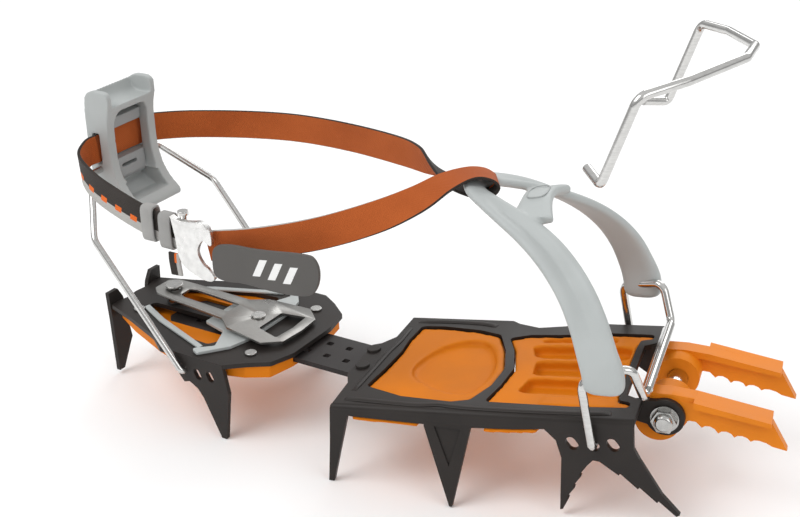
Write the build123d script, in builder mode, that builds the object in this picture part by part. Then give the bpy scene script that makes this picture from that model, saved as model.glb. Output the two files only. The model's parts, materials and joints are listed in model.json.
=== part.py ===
from build123d import *
from math import cos, hypot, radians, sin, tan
import os

os.makedirs("parts", exist_ok=True)

# A right-foot crampon. +X points to the toe, +Y to the inner side of the foot, +Z up.
# Toe coordinates are measured from the ground under the middle of the front-point axle.
# Heel coordinates are the same, turned in plan by the bar's angle about the bar's front end.

# ---------------------------------------------------------------- driving dimensions (mm)
TOE_X = 117.245         # where the front-point axle lies in the part's frame
TOE_Y = -10.1
BAR_ANGLE = 14.57      # toe-in of the front section over the heel section
BAR_TURN_X = -130.0    # the point of the bar that the angle turns about

STEEL = 2.5            # front frame sheet
HEEL_STEEL = 2.2       # heel frame sheet
TOE_RISE = 4.89        # slope of the front frame, degrees
TOE_TOP = 50.6         # height of the sloping frame's top face above the axle
SIDE_Y = 44.5          # outer faces of the front frame's sides
HEEL_TOP = 39.2        # top face of the heel frame
HEEL_SIDE_Y = 41.5     # outer faces of the heel frame's sides

AXLE_Z = 42.7
AXLE_R = 3.0
POINT_Y = 22.0         # middle plane of each front point
POINT_BLADE = 4.2
EAR_OUT = 26.6         # outer face of the ears that carry the axle

TOE_WIRE_R = 1.9
TOE_PIVOT = (-26.4, 36.2)      # x, z of the toe bail's feet
HEEL_WIRE_R = 1.6
HEEL_PIVOT = (-215.4, 31.0)    # x, z of the heel bail's feet
LEVER_PIVOT = (-278.2, 111.0)
LATCH_PIVOT = (-254.8, 46.2)

BAR_TOP = 35.6
BAR_THICK = 2.4
BAR_HALF = 13.7
WEB = 1.4              # webbing thickness
WEB_WIDE = 14.0
FIT = 0.06             # running clearance of a wire or shaft in its bore

# ---------------------------------------------------------------- frames
TOE = Plane(origin=(TOE_X, TOE_Y, 0))
turn = radians(-BAR_ANGLE)
HEEL = Plane(
    origin=(TOE_X + BAR_TURN_X * (1 - cos(turn)), TOE_Y - BAR_TURN_X * sin(turn), 0),
    x_dir=(cos(turn), sin(turn), 0),
    z_dir=(0, 0, 1),
)
rise = radians(TOE_RISE)
RAMP = Plane(
    origin=TOE.from_local_coords((0, 0, TOE_TOP)),
    x_dir=(cos(rise), 0, sin(rise)),
    z_dir=(-sin(rise), 0, cos(rise)),
)


def side(frame, y):
    """Vertical plane across the width: sketch x runs to the toe, sketch y runs up."""
    return Plane(frame.from_local_coords((0, y, 0)), x_dir=frame.x_dir, z_dir=-frame.y_dir)


def cross(frame, x):
    """Vertical plane across the length: sketch x runs to the inner side, sketch y up."""
    return Plane(frame.from_local_coords((x, 0, 0)), x_dir=frame.y_dir, z_dir=frame.x_dir)


def spots(frame, points):
    """Points of a frame's own coordinates, in the part's frame."""
    return [frame.from_local_coords(Vector(*p)) for p in points]


def slab(plane, points, depth, mode=Mode.ADD, radius=0):
    """A sheet piece cut to a polygon, with its corners rounded if a radius is given."""
    with BuildSketch(plane, mode=Mode.PRIVATE) as outline:
        with BuildLine():
            Polyline(*points, close=True)
        make_face()
        if radius:
            fillet(outline.vertices(), radius)
    extrude(to_extrude=outline.sketch, amount=depth, mode=mode)


def peg(plane, spot, radius, low, high, mode=Mode.ADD):
    """A round pin along a plane's normal, from one offset to another."""
    with BuildSketch(plane.offset(low), mode=Mode.PRIVATE) as disc:
        with Locations(spot):
            Circle(radius)
    extrude(to_extrude=disc.sketch, amount=high - low, mode=mode)


def oval(plane, spot, length, width, angle, depth, mode=Mode.SUBTRACT):
    """A slot with round ends, cut to both sides of a plane."""
    with BuildSketch(plane, mode=Mode.PRIVATE) as slot:
        with Locations(Location((spot[0], spot[1]), angle)):
            SlotOverall(length, width)
    extrude(to_extrude=slot.sketch, amount=depth, both=True, mode=mode)


def wire(points, bend, radius, mode=Mode.ADD):
    """Round wire along straight runs joined by bends; bend is one radius, or one for each corner."""
    with BuildLine(mode=Mode.PRIVATE) as route:
        FilletPolyline(*points, radius=bend)
    start = Plane(origin=route.line @ 0, z_dir=route.line % 0)
    with BuildSketch(start, mode=Mode.PRIVATE) as section:
        Circle(radius)
    sweep(sections=section.sketch, path=route.line, mode=mode)


def serrated(start, end, teeth, bite):
    """An edge from start to end with small square-backed teeth cut into it."""
    dx, dy = end[0] - start[0], end[1] - start[1]
    length = hypot(dx, dy)
    nx, ny = -dy / length * bite, dx / length * bite
    points = []
    for tooth in range(1, teeth + 1):
        share = tooth / (teeth + 1)
        spot = (start[0] + dx * share, start[1] + dy * share)
        points += [spot, (spot[0] + nx, spot[1] + ny)]
    return points


def top_z(x):
    """Height of the sloping frame's top face at a toe coordinate x."""
    return TOE_TOP + x * tan(rise)


# ================================================================ front section
FRAME_OUTLINE = [
    (-141.5, -SIDE_Y), (-10, -SIDE_Y), (-10, -EAR_OUT), (-17, -22.5), (-17, 22.5), (-10, EAR_OUT),
    (-10, SIDE_Y), (-45, SIDE_Y), (-56, 39), (-68, 36.5), (-78, 40), (-84, SIDE_Y),
    (-131, SIDE_Y), (-133, 22), (-138, 15), (-142, 13), (-144, -16), (-141, -24),
]
REAR_WINDOW = [
    (-131.5, -26), (-113, -33.5), (-90, -36), (-82, -33.5), (-76, -20), (-74, -4), (-78, 13),
    (-84, 28), (-95, 32), (-113, 34.5), (-124, 34), (-126, 19), (-126, 8), (-128.5, -10),
]
FRONT_WINDOW = [
    (-75.5, -34.5), (-72, -20), (-70, -4), (-74, 13), (-79, 25), (-70, 29), (-56, 30),
    (-38, 33.5), (-14, 33.5), (-14, 29), (-19.2, 27.6), (-20, 20), (-20, -20), (-19.2, -27.6), (-14, -29),
    (-14, -33.5), (-38, -35),
]
SPIKE_ROOT_Z = 37.0

near_side = [
    (-141.5, top_z(-141.5) - 0.5), (-142.4, 20), (-143.8, 0), (-141.4, 0), (-133.6, 34.2),
    (-99, 35.2), (-79, 36.4), (-60, 38.6), (-47, 40.6), (-42, 36), (-39.6, 28), (-39.8, 2.6),
    (-38.6, 3.0),
]
near_side += serrated((-38.6, 3.0), (-28.6, 26.0), 3, 1.0)
near_side += [(-28.6, 26.0), (-26.3, 28.8), (-23.6, 28.6)]
near_side += serrated((-23.6, 28.6), (8.8, 7.2), 3, 1.1)
near_side += [(8.8, 7.2), (10.2, 8.2), (2.6, 16.5), (-7.2, 32.0), (-9.6, 36.5), (-10.2, top_z(-10.2) - 0.5)]

far_rear_side = [
    (-131, top_z(-131) - 0.5), (-132, 20), (-133.2, 0), (-130.8, 0), (-123, 34.4),
    (-100, 35.2), (-84, 36.2), (-84, top_z(-84) - 0.5),
]
blade_start = near_side.index((-47, 40.6))
far_blade = [(-47, top_z(-47) - 0.5)] + near_side[blade_start:]
SLOTS = [(-35.2, 35.5), TOE_PIVOT, (-18.2, 37.2)]

with BuildPart() as front_frame:
    slab(RAMP, FRAME_OUTLINE, -STEEL)
    slab(RAMP, REAR_WINDOW, -STEEL, mode=Mode.SUBTRACT, radius=2.5)
    slab(RAMP, FRONT_WINDOW, -STEEL, mode=Mode.SUBTRACT, radius=2.0)
    slab(side(TOE, -SIDE_Y), near_side, -STEEL)
    slab(side(TOE, SIDE_Y), far_rear_side, STEEL)
    slab(side(TOE, SIDE_Y), far_blade, STEEL)
    for hand in (-1, 1):
        lean = Plane(
            origin=TOE.from_local_coords((-88, hand * SIDE_Y, SPIKE_ROOT_Z)),
            x_dir=(1, 0, 0),
            z_dir=(0, -cos(radians(10.8)), -hand * sin(radians(10.8))),
        )
        spike = [(-11, 1), (9.5, 1), (9.2, -2), (2.6, -37.18), (1.4, -37.18), (-11, -2.4)]
        slab(lean, spike, hand * STEEL)
        slab(lean, [(-6.5, -2), (5.2, -2), (0.6, -19)], hand * 0.8, mode=Mode.SUBTRACT)
        ear = side(TOE, hand * EAR_OUT)
        neck = [(-17.5, top_z(-17.5) - 1), (-10, top_z(-10) - 0.2), (2, AXLE_Z + 8), (2, AXLE_Z - 6), (-17.5, 41)]
        slab(ear, neck, hand * STEEL)
        peg(ear, (0, AXLE_Z), 8.2, 0, hand * STEEL)
        peg(ear, (0, AXLE_Z), AXLE_R + FIT, -4, 4, mode=Mode.SUBTRACT)
        for slot in SLOTS:
            oval(side(TOE, hand * SIDE_Y), slot, 6.4, 4.3, -52, 4)
    for rivet_y in (-8, 8):
        spot = (-139.5, rivet_y)
        peg(RAMP, spot, 3.25, -5, 5, mode=Mode.SUBTRACT)
    folds = [e for e in front_frame.edges() if abs(abs(TOE.to_local_coords(e @ 0.5).Y) - SIDE_Y) < 0.01
             and abs(RAMP.to_local_coords(e @ 0.5).Z) < 0.01 and e.length > 20]
    fillet(folds, 2.3)
front_frame.part.label = "front_frame"
export_step(front_frame.part, "parts/front_frame.step")

# ---------------------------------------------------------------- anti-snow pads of the toe
PAD_TOP = -1.2         # below the frame's top face
PAD_LOW = -7.6
PAD_SHEET = 2.3
PAD_GAP = 0.35


def shrunk(plane, outline, gap, radius):
    """The face of an outline with rounded corners, drawn in by a gap."""
    with BuildSketch(plane, mode=Mode.PRIVATE) as face:
        with BuildLine():
            Polyline(*outline, close=True)
        make_face()
        fillet(face.vertices(), radius)
        offset(amount=-gap, kind=Kind.INTERSECTION)
    return face.sketch


with BuildPart() as rear_pad:
    slab(
        RAMP.offset(PAD_LOW),
        [(-138, -41.4), (-80, -41.4), (-76.5, -20), (-74.5, -4), (-77.5, 13), (-83, 41.4), (-129, 41.4)],
        PAD_SHEET,
    )
    slab(side(TOE, -44), [(-132, 33.8), (-102, 34.7), (-102, 32.8), (-132, 31.9)], -3.2)
    extrude(to_extrude=shrunk(RAMP.offset(PAD_LOW), REAR_WINDOW, PAD_GAP, 2.5), amount=PAD_TOP - PAD_LOW)
    slab(
        RAMP.offset(-2.4),
        [(-125, -24), (-88, -29), (-81, -16), (-80, 0), (-89, 23), (-119, 26), (-120, 8)],
        4,
        mode=Mode.SUBTRACT,
        radius=4,
    )
    slab(HEEL.offset(BAR_TOP - BAR_THICK - 0.4), [(-160, -14.3), (-116, -14.3), (-116, 14.3), (-160, 14.3)],
         BAR_THICK + 0.8, mode=Mode.SUBTRACT)
rear_pad.part.label = "rear_pad"
export_step(rear_pad.part, "parts/rear_pad.step")

with BuildPart() as front_pad:
    slab(
        RAMP.offset(PAD_LOW),
        [(-75.5, -41.4), (-72, -20), (-70, -4), (-73, 13), (-79, 30), (-68, 34), (-50, 38), (-42, 41.4),
         (-13, 41.4), (-13, 29.5), (-18.6, 28), (-19.6, 23), (-19.6, -23), (-18.6, -28), (-13, -29.5),
         (-13, -41.4)],
        PAD_SHEET,
    )
    slab(side(TOE, -44), [(-73, 36.7), (-60, 38.2), (-50, 39.7), (-50, 37.7), (-60, 36.2), (-73, 34.7)], -3.2)
    extrude(to_extrude=shrunk(RAMP.offset(PAD_LOW), FRONT_WINDOW, PAD_GAP, 2.0), amount=PAD_TOP - PAD_LOW)
    for groove_y in (-16, 0, 16):
        slab(RAMP.offset(-4.5), [(-62, groove_y - 3.4), (-24, groove_y - 3.4),
                                 (-24, groove_y + 3.4), (-62, groove_y + 3.4)], 6, mode=Mode.SUBTRACT, radius=2)
front_pad.part.label = "front_pad"
export_step(front_pad.part, "parts/front_pad.step")

# ---------------------------------------------------------------- front points
POINT_BLADE_OUTLINE = [
    (-6, 36.5), (6, 38.6), (9.5, 41.4), (12.4, 41.2), (14.9, 38.8), (16.2, 39.8), (18.2, 39.9), (20.2, 38.9),
    (21.7, 37.1), (23.0, 38.2), (25.0, 38.4), (27.0, 37.7), (28.2, 36.1), (29.5, 37.1), (31.4, 37.3),
    (33.5, 36.6), (34.9, 35.2), (36.3, 36.0), (38.4, 36.1), (41.2, 35.4), (43.6, 34.1), (49.6, 33.0),
    (43.0, 45.0), (10.0, 50.0), (-6, 51.0),
]
POINT_CAP = [(-8.0, 52.2), (2.0, 52.6), (12.0, 51.8), (42.8, 46.6), (42.8, 44.4), (12, 48.8), (-8, 49.4)]
CAP_HALF = 5.6


def front_point(hand):
    """One front point: hub and lobe round the axle, blade with teeth, flat cap on top."""
    middle = hand * POINT_Y
    slab(side(TOE, middle), POINT_BLADE_OUTLINE, POINT_BLADE / 2)
    slab(side(TOE, middle), POINT_BLADE_OUTLINE, -POINT_BLADE / 2)
    near = side(TOE, hand * (POINT_Y + 1.9))
    peg(near, (-3.4, 39.7), 9.6, 0, hand * 6)
    inner = side(TOE, hand * (POINT_Y - 1))
    peg(inner, (0, AXLE_Z), 9.3, 0, hand * 12)
    far_half = min(CAP_HALF, EAR_OUT - STEEL - POINT_Y - 0.2)
    slab(side(TOE, middle), POINT_CAP, hand * CAP_HALF)
    slab(side(TOE, middle), POINT_CAP, -hand * far_half)
    slab(side(TOE, middle), [(11.4, 51.9), (42.8, 46.6), (42.8, 44.4), (11.4, 48.9)], -hand * CAP_HALF)
    peg(side(TOE, 0), (0, AXLE_Z), AXLE_R + FIT, -40, 40, mode=Mode.SUBTRACT)


with BuildPart() as front_point_outer:
    front_point(-1)
front_point_outer.part.label = "front_point_outer"
export_step(front_point_outer.part, "parts/front_point_outer.step")

with BuildPart() as front_point_inner:
    front_point(1)
front_point_inner.part.label = "front_point_inner"
export_step(front_point_inner.part, "parts/front_point_inner.step")

# ---------------------------------------------------------------- axle hardware
with BuildPart() as axle_bolt:
    peg(side(TOE, 0), (0, AXLE_Z), AXLE_R, -EAR_OUT - 0.1, EAR_OUT + 5.6)
    with BuildSketch(side(TOE, EAR_OUT + 0.1)):
        with Locations((0, AXLE_Z)):
            RegularPolygon(radius=5.4, side_count=6)
    extrude(amount=-4)
axle_bolt.part.label = "axle_bolt"
export_step(axle_bolt.part, "parts/axle_bolt.step")

with BuildPart() as axle_nut:
    peg(side(TOE, 0), (0, AXLE_Z), 6.0, EAR_OUT + 0.1, EAR_OUT + 1.3)
    with BuildSketch(side(TOE, -EAR_OUT - 1.3)):
        with Locations((0, AXLE_Z)):
            RegularPolygon(radius=5.4, side_count=6)
    extrude(amount=3.0)
    peg(side(TOE, 0), (0, AXLE_Z), 4.0, EAR_OUT + 4.3, EAR_OUT + 6.6)
    fillet(axle_nut.faces().sort_by(Axis.Y)[0].edges(), 1.6)
    peg(side(TOE, 0), (0, AXLE_Z), AXLE_R + FIT, EAR_OUT - 1, EAR_OUT + 5.6, mode=Mode.SUBTRACT)
axle_nut.part.label = "axle_nut"
export_step(axle_nut.part, "parts/axle_nut.step")

with BuildPart() as axle_spacer:
    peg(side(TOE, 0), (0, AXLE_Z), 4.6, -8.9, 8.9)
    peg(side(TOE, 0), (0, AXLE_Z), AXLE_R + FIT, -10, 10, mode=Mode.SUBTRACT)
axle_spacer.part.label = "axle_spacer"
export_step(axle_spacer.part, "parts/axle_spacer.step")

# ---------------------------------------------------------------- linking bar
BAR_REAR = -252.0
HOLE_PITCH = 10.8
HOLE_SIZE = 3.2
LATCH_STUD_X = -203.0

with BuildPart() as linking_bar:
    slab(
        HEEL.offset(BAR_TOP - BAR_THICK),
        [(BAR_REAR, -8), (BAR_REAR + 5, -BAR_HALF), (-117, -BAR_HALF), (-117, BAR_HALF),
         (BAR_REAR + 5, BAR_HALF), (BAR_REAR, 8)],
        BAR_THICK,
    )
    with BuildSketch(HEEL.offset(BAR_TOP - BAR_THICK)):
        for count in range(9):
            with Locations((-154.8 - HOLE_PITCH * count, 5.6), (-149.4 - HOLE_PITCH * count, -5.0)):
                RectangleRounded(HOLE_SIZE, HOLE_SIZE, 0.6)
    extrude(amount=BAR_THICK, mode=Mode.SUBTRACT)
    for rivet_y in (-8, 8):
        peg(RAMP, (-139.5, rivet_y), 2.0, -8, 5, mode=Mode.SUBTRACT)
linking_bar.part.label = "linking_bar"
export_step(linking_bar.part, "parts/linking_bar.step")

with BuildPart() as bar_rivets:
    for rivet_y in (-8, 8):
        peg(RAMP, (-139.5, rivet_y), 1.98, -5.0, 0.1)
        peg(RAMP, (-139.5, rivet_y), 3.2, -2.4, 1.1)
bar_rivets.part.label = "bar_rivets"
export_step(bar_rivets.part, "parts/bar_rivets.step")

# ================================================================ heel section
HEEL_OUTLINE = [
    (-283, -17.5), (-264, -24), (-240, -34), (-230, -HEEL_SIDE_Y), (-193, -HEEL_SIDE_Y),
    (-184, -34), (-175, -28), (-171, -16), (-171, 14), (-174, 28), (-184, 36), (-193, HEEL_SIDE_Y),
    (-230, HEEL_SIDE_Y), (-240, 34), (-264, 24), (-283, 17.5), (-280, 8), (-281, 0), (-280, -8),
]
HEEL_WINDOW = [(-265, -5.5), (-262, -13), (-246, -21), (-226, -27), (-212, -28), (-206, -18), (-206, -5.5)]
HEEL_SPIKE = [
    (-230, HEEL_TOP - 0.4), (-222.5, 34.6), (-221.0, 30.5), (-216.4, 24.6), (-213.2, 25.6), (-208.6, 23.0),
    (-205.6, 19.0), (-196.6, 0), (-193.8, 0), (-190.4, 24.5), (-193, HEEL_TOP - 0.4),
]
REAR_SPIKE = [
    (-19.2, 45.5), (-12.5, 45.5), (-9.5, 40.5), (-9.0, HEEL_TOP - 1), (-8.4, 30), (-6.0, 16.5),
    (-7.5, 14), (-14.0, 2), (-17.6, 2), (-18.4, 30),
]
HEEL_SLOTS = [HEEL_PIVOT, (-208.0, 30.5), (-200.6, 31.0)]

with BuildPart() as heel_frame:
    slab(HEEL.offset(HEEL_TOP - HEEL_STEEL), HEEL_OUTLINE, HEEL_STEEL, radius=1.2)
    for hand in (-1, 1):
        window = [(x, -hand * y) for x, y in HEEL_WINDOW]
        slab(HEEL.offset(HEEL_TOP - HEEL_STEEL), window, HEEL_STEEL, mode=Mode.SUBTRACT, radius=2.4)
        slab(side(HEEL, hand * HEEL_SIDE_Y), HEEL_SPIKE, hand * HEEL_STEEL)
        slab(cross(HEEL, -283.4), [(-hand * x, z) for x, z in REAR_SPIKE], HEEL_STEEL)
        for slot in HEEL_SLOTS[1:]:
            oval(side(HEEL, hand * HEEL_SIDE_Y), slot, 5.6, 3.4, -62, 4)
        peg(side(HEEL, hand * HEEL_SIDE_Y), HEEL_PIVOT, HEEL_WIRE_R + FIT, -4, 4, mode=Mode.SUBTRACT)
        peg(HEEL, (-265, hand * 15.5), 1.8, 30, 50, mode=Mode.SUBTRACT)
        peg(HEEL, (-188, hand * 26), 1.8, 30, 50, mode=Mode.SUBTRACT)
    peg(HEEL, (LATCH_STUD_X, 0), 3.8, 30, 50, mode=Mode.SUBTRACT)
    peg(HEEL, (LATCH_PIVOT[0], 0), 2.3, 30, 50, mode=Mode.SUBTRACT)
heel_frame.part.label = "heel_frame"
export_step(heel_frame.part, "parts/heel_frame.step")

HEEL_PAD_OUTLINE = [
    (-279, -14), (-262, -23), (-238, -33), (-228, -36.2), (-194, -36.2), (-186, -34), (-176, -28),
    (-173, -14), (-173, 14), (-176, 28), (-186, 34), (-194, 36.2), (-228, 36.2), (-238, 33), (-262, 23),
    (-279, 14),
]

with BuildPart() as heel_pad:
    slab(HEEL.offset(31.0), HEEL_PAD_OUTLINE, 5.8, radius=1.5)
    slab(HEEL.offset(BAR_TOP - BAR_THICK - 0.3), [(-300, -14.1), (-150, -14.1), (-150, 14.1), (-300, 14.1)],
         6, mode=Mode.SUBTRACT)
    for hand in (-1, 1):
        peg(HEEL, (-265, hand * 15.5), 1.8, 30, 50, mode=Mode.SUBTRACT)
        peg(HEEL, (-188, hand * 26), 1.8, 30, 50, mode=Mode.SUBTRACT)
heel_pad.part.label = "heel_pad"
export_step(heel_pad.part, "parts/heel_pad.step")

with BuildPart() as heel_rivets:
    for hand in (-1, 1):
        for spot in ((-265, hand * 15.5), (-188, hand * 26)):
            peg(HEEL, spot, 1.78, 31.2, HEEL_TOP + 0.1)
            peg(HEEL, spot, 2.8, HEEL_TOP + 0.02, HEEL_TOP + 1.1)
heel_rivets.part.label = "heel_rivets"
export_step(heel_rivets.part, "parts/heel_rivets.step")

with BuildPart() as heel_insert:
    slab(HEEL.offset(HEEL_TOP + 0.02), [(-226, -12), (-212, -16), (-206, -30), (-214, -37), (-209, -39.5),
                                        (-199, -27), (-196, -15), (-196, 15), (-199, 27), (-209, 39.5),
                                        (-214, 37), (-206, 30), (-212, 16), (-226, 12)], 1.6, radius=1.2)
    for hand in (-1, 1):
        strip = [(-263, 10.2), (-246, 18.6), (-212, 31.5), (-212, 34.5), (-247, 21.6), (-264, 13)]
        slab(HEEL.offset(HEEL_TOP + 0.02), [(x, hand * y) for x, y in strip], 1.0)
    peg(HEEL, (LATCH_STUD_X, 0), 4.2, 30, 50, mode=Mode.SUBTRACT)
    for hand in (-1, 1):
        peg(HEEL, (-265, hand * 15.5), 3.0, 30, 50, mode=Mode.SUBTRACT)
heel_insert.part.label = "heel_insert"
export_step(heel_insert.part, "parts/heel_insert.step")

# ---------------------------------------------------------------- spring latch
SPRING_THICK = 1.3
SPRING_SLOPE = 3.6
slope = radians(SPRING_SLOPE)
LATCH = Plane(
    origin=HEEL.from_local_coords((LATCH_PIVOT[0], 0, LATCH_PIVOT[1])),
    x_dir=HEEL.x_dir * cos(slope) - Vector(0, 0, sin(slope)),
    z_dir=HEEL.x_dir * sin(slope) + Vector(0, 0, cos(slope)),
)
STUD_U = (LATCH_STUD_X - LATCH_PIVOT[0]) / cos(slope)

with BuildPart() as spring_plate:
    slab(
        LATCH.offset(-SPRING_THICK / 2),
        [(-8, -5), (-4, -8.5), (6, -9.5), (38, -11), (46, -17), (68, -20), (76, -13), (77, 0), (76, 13),
         (68, 20), (46, 17), (38, 11), (6, 9.5), (-4, 8.5), (-8, 5)],
        SPRING_THICK,
        radius=1.5,
    )
    slab(LATCH.offset(-2), [(7, -3.4), (10, -4.6), (37, -4.6), (37, 4.6), (10, 4.6), (7, 3.4)], 4,
         mode=Mode.SUBTRACT, radius=1)
    slab(LATCH.offset(-2), [(59, -9), (71, -12), (72, 0), (71, 12), (59, 9)], 4, mode=Mode.SUBTRACT, radius=1)
    peg(LATCH, (0, 0), 3.1, -2, 2, mode=Mode.SUBTRACT)
    peg(LATCH, (STUD_U, 0), 1.5, -2, 2, mode=Mode.SUBTRACT)
spring_plate.part.label = "spring_plate"
export_step(spring_plate.part, "parts/spring_plate.step")

with BuildPart() as latch_stud:
    peg(HEEL, (LATCH_STUD_X, 0), 2.0, BAR_TOP + 0.3, 41.9)
    peg(LATCH, (STUD_U, 0), 1.48, -1.9, 1)
    peg(LATCH, (STUD_U, 0), 3.4, SPRING_THICK / 2 + 0.02, SPRING_THICK / 2 + 1.0)
latch_stud.part.label = "latch_stud"
export_step(latch_stud.part, "parts/latch_stud.step")

with BuildPart() as latch_post:
    peg(HEEL, (LATCH_PIVOT[0], 0), 2.25, HEEL_TOP - HEEL_STEEL, 49.0)
    peg(HEEL, (LATCH_PIVOT[0], 0), 4.2, HEEL_TOP + 0.02, 44.6)
    peg(HEEL, (LATCH_PIVOT[0], 0), 4.4, 47.9, 49.2)
latch_post.part.label = "latch_post"
export_step(latch_post.part, "parts/latch_post.step")

# ================================================================ heel bail and lever
HEEL_LEG_Y = HEEL_SIDE_Y + HEEL_WIRE_R + 0.6
LEVER_HALF = 16.6
bail_half = [
    (HEEL_PIVOT[0], -37.2, HEEL_PIVOT[1]), (HEEL_PIVOT[0], -HEEL_LEG_Y, HEEL_PIVOT[1]),
    (-261.0, -HEEL_LEG_Y, 88.1), (LEVER_PIVOT[0], -23.4, LEVER_PIVOT[1]),
]

with BuildPart() as heel_bail_wire:
    bail_route = bail_half + [(x, -y, z) for x, y, z in reversed(bail_half)]
    wire(spots(HEEL, bail_route), [1.9, 9, 5, 5, 9, 1.9], HEEL_WIRE_R)
heel_bail_wire.part.label = "heel_bail_wire"
export_step(heel_bail_wire.part, "parts/heel_bail_wire.step")

LEVER_SIDE = [
    (-281.5, 97), (-267, 89.8), (-259.4, 90.2), (-258.8, 93.6), (-264.8, 98.5), (-269.8, 106), (-271.6, 118),
    (-271.4, 134), (-268.8, 144), (-269.4, 148.6), (-272, 149.8), (-281.5, 149.6), (-284.6, 145), (-284.9, 130),
    (-284.6, 110), (-283.6, 99),
]

with BuildPart() as lever_shell:
    slab(side(HEEL, -LEVER_HALF), LEVER_SIDE, -2 * LEVER_HALF)
    slab(side(HEEL, -11.6), [(-282.2, 101), (-255, 97.5), (-255, 137.6), (-282.2, 137.6)], -23.2, mode=Mode.SUBTRACT)
    slab(side(HEEL, -13.4), [(-282.4, 142.6), (-262, 141.6), (-262, 160), (-282.4, 160)], -26.8, mode=Mode.SUBTRACT)
    slab(side(HEEL, -30), [(-282.2, 113.4), (-276.5, 113.4), (-276.5, 128.6), (-282.2, 128.6)], -60,
         mode=Mode.SUBTRACT)
    peg(side(HEEL, 0), LEVER_PIVOT, HEEL_WIRE_R + FIT, -30, 30, mode=Mode.SUBTRACT)
lever_shell.part.label = "lever_shell"
export_step(lever_shell.part, "parts/lever_shell.step")

with BuildPart() as lever_block:
    slab(side(HEEL, -11.2), [(-282.1, 102), (-273.4, 101.8), (-274.0, 113.7), (-281.0, 113.7),
                             (-281.0, 129), (-274.6, 129), (-274.8, 135.2), (-282.1, 135.2)], -22.4)
    peg(side(HEEL, 0), LEVER_PIVOT, HEEL_WIRE_R + FIT, -30, 30, mode=Mode.SUBTRACT)
    slab(cross(HEEL, -276.5), [(-5, 108), (5, 108), (5, 109.4), (-5, 109.4)], 6, mode=Mode.SUBTRACT)
lever_block.part.label = "lever_block"
export_step(lever_block.part, "parts/lever_block.step")

with BuildPart() as lever_strap:
    slab(cross(HEEL, -280.6), [(-LEVER_HALF, 114), (LEVER_HALF, 114), (LEVER_HALF, 128), (-LEVER_HALF, 128)], WEB)
lever_strap.part.label = "lever_strap"
export_step(lever_strap.part, "parts/lever_strap.step")

# ================================================================ ankle strap and buckle
def webbing(points, wide, thick=WEB):
    """Webbing through points (x, y, z, lie): lofted lengths that share their ends.

    A lie of 0 stands the webbing on edge and a lie of 90 lays it flat.
    """
    cuts = []
    for index, (x, y, z, lie) in enumerate(points):
        back = points[max(index - 1, 0)]
        front = points[min(index + 1, len(points) - 1)]
        along = Vector(front[0] - back[0], front[1] - back[1], 0).normalized()
        level = Vector(-along.Y, along.X, 0)
        across = level * cos(radians(lie)) + Vector(0, 0, sin(radians(lie)))
        cut = Plane(
            origin=HEEL.from_local_coords(Vector(x, y, z)),
            x_dir=HEEL.from_local_coords(across) - HEEL.origin,
            z_dir=HEEL.from_local_coords(along) - HEEL.origin,
        )
        with BuildSketch(cut, mode=Mode.PRIVATE) as section:
            Rectangle(thick, wide)
        cuts.append(section.sketch)
    for low, high in zip(cuts, cuts[1:]):
        loft(sections=[low, high], ruled=True)


FAR_RUN = [
    (-280.6, 17.4, 121, 0), (-262, 35.5, 120.2, 0), (-236, 45, 120.8, 0), (-208.5, 49, 122, 0),
    (-177, 46.5, 123.3, 0), (-145, 38.5, 125, 0), (-115, 25, 126.5, 0), (-99, 17.8, 127.2, 0),
]
NEAR_RUN = [
    (-186, -45.4, 102, 0), (-165, -42, 106.5, 0), (-140, -33.6, 112.5, 0), (-112, -13.5, 120.5, 0),
    (-103.5, -4.5, 126.2, 40), (-96.9, 2.8, 132.6, 75), (-89.1, 9.6, 133.8, 90), (-80.5, 14.8, 133.0, 90),
]
LOOP_RUN = [
    (-280.6, -17.2, 121, 0), (-279.5, -27, 118.5, 0), (-268, -35, 114.5, 0), (-250, -40, 110, 0),
    (-226, -43.6, 105, 0), (-204, -44.6, 102, 0),
]

with BuildPart() as strap_far:
    webbing(FAR_RUN, WEB_WIDE)
strap_far.part.label = "strap_far"
export_step(strap_far.part, "parts/strap_far.step")

with BuildPart() as strap_near:
    webbing(NEAR_RUN, WEB_WIDE)
strap_near.part.label = "strap_near"
export_step(strap_near.part, "parts/strap_near.step")

with BuildPart() as strap_loop:
    webbing(LOOP_RUN, WEB_WIDE, 2.6)
strap_loop.part.label = "strap_loop"
export_step(strap_loop.part, "parts/strap_loop.step")

with BuildPart() as strap_tail:
    slab(
        side(HEEL, -49.6),
        [(-183.5, 89), (-182, 104.6), (-168, 106), (-133, 111.5), (-129, 109.5), (-127, 104.5),
         (-129, 96.5), (-135, 92), (-172, 88.6)],
        2.2,
        radius=1.8,
    )
strap_tail.part.label = "strap_tail"
export_step(strap_tail.part, "parts/strap_tail.step")

KEEPERS = {"keeper_front": (-213.6, -44.2, 103.1), "keeper_rear": (-224.0, -43.8, 104.7)}
for name, (keep_x, keep_y, keep_z) in KEEPERS.items():
    with BuildPart() as keeper:
        middle = HEEL.from_local_coords((keep_x, keep_y, keep_z))
        collar = Plane(origin=middle, x_dir=HEEL.y_dir, z_dir=HEEL.x_dir)
        with BuildSketch(collar.offset(-3.6)):
            RectangleRounded(6.8, 19.2, 1.2)
            Rectangle(4.6, 16.8, mode=Mode.SUBTRACT)
        extrude(amount=7.2)
    keeper.part.label = name
    export_step(keeper.part, "parts/" + name + ".step")

BUCKLE_PIVOT = (-201.5, -47.4)

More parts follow.
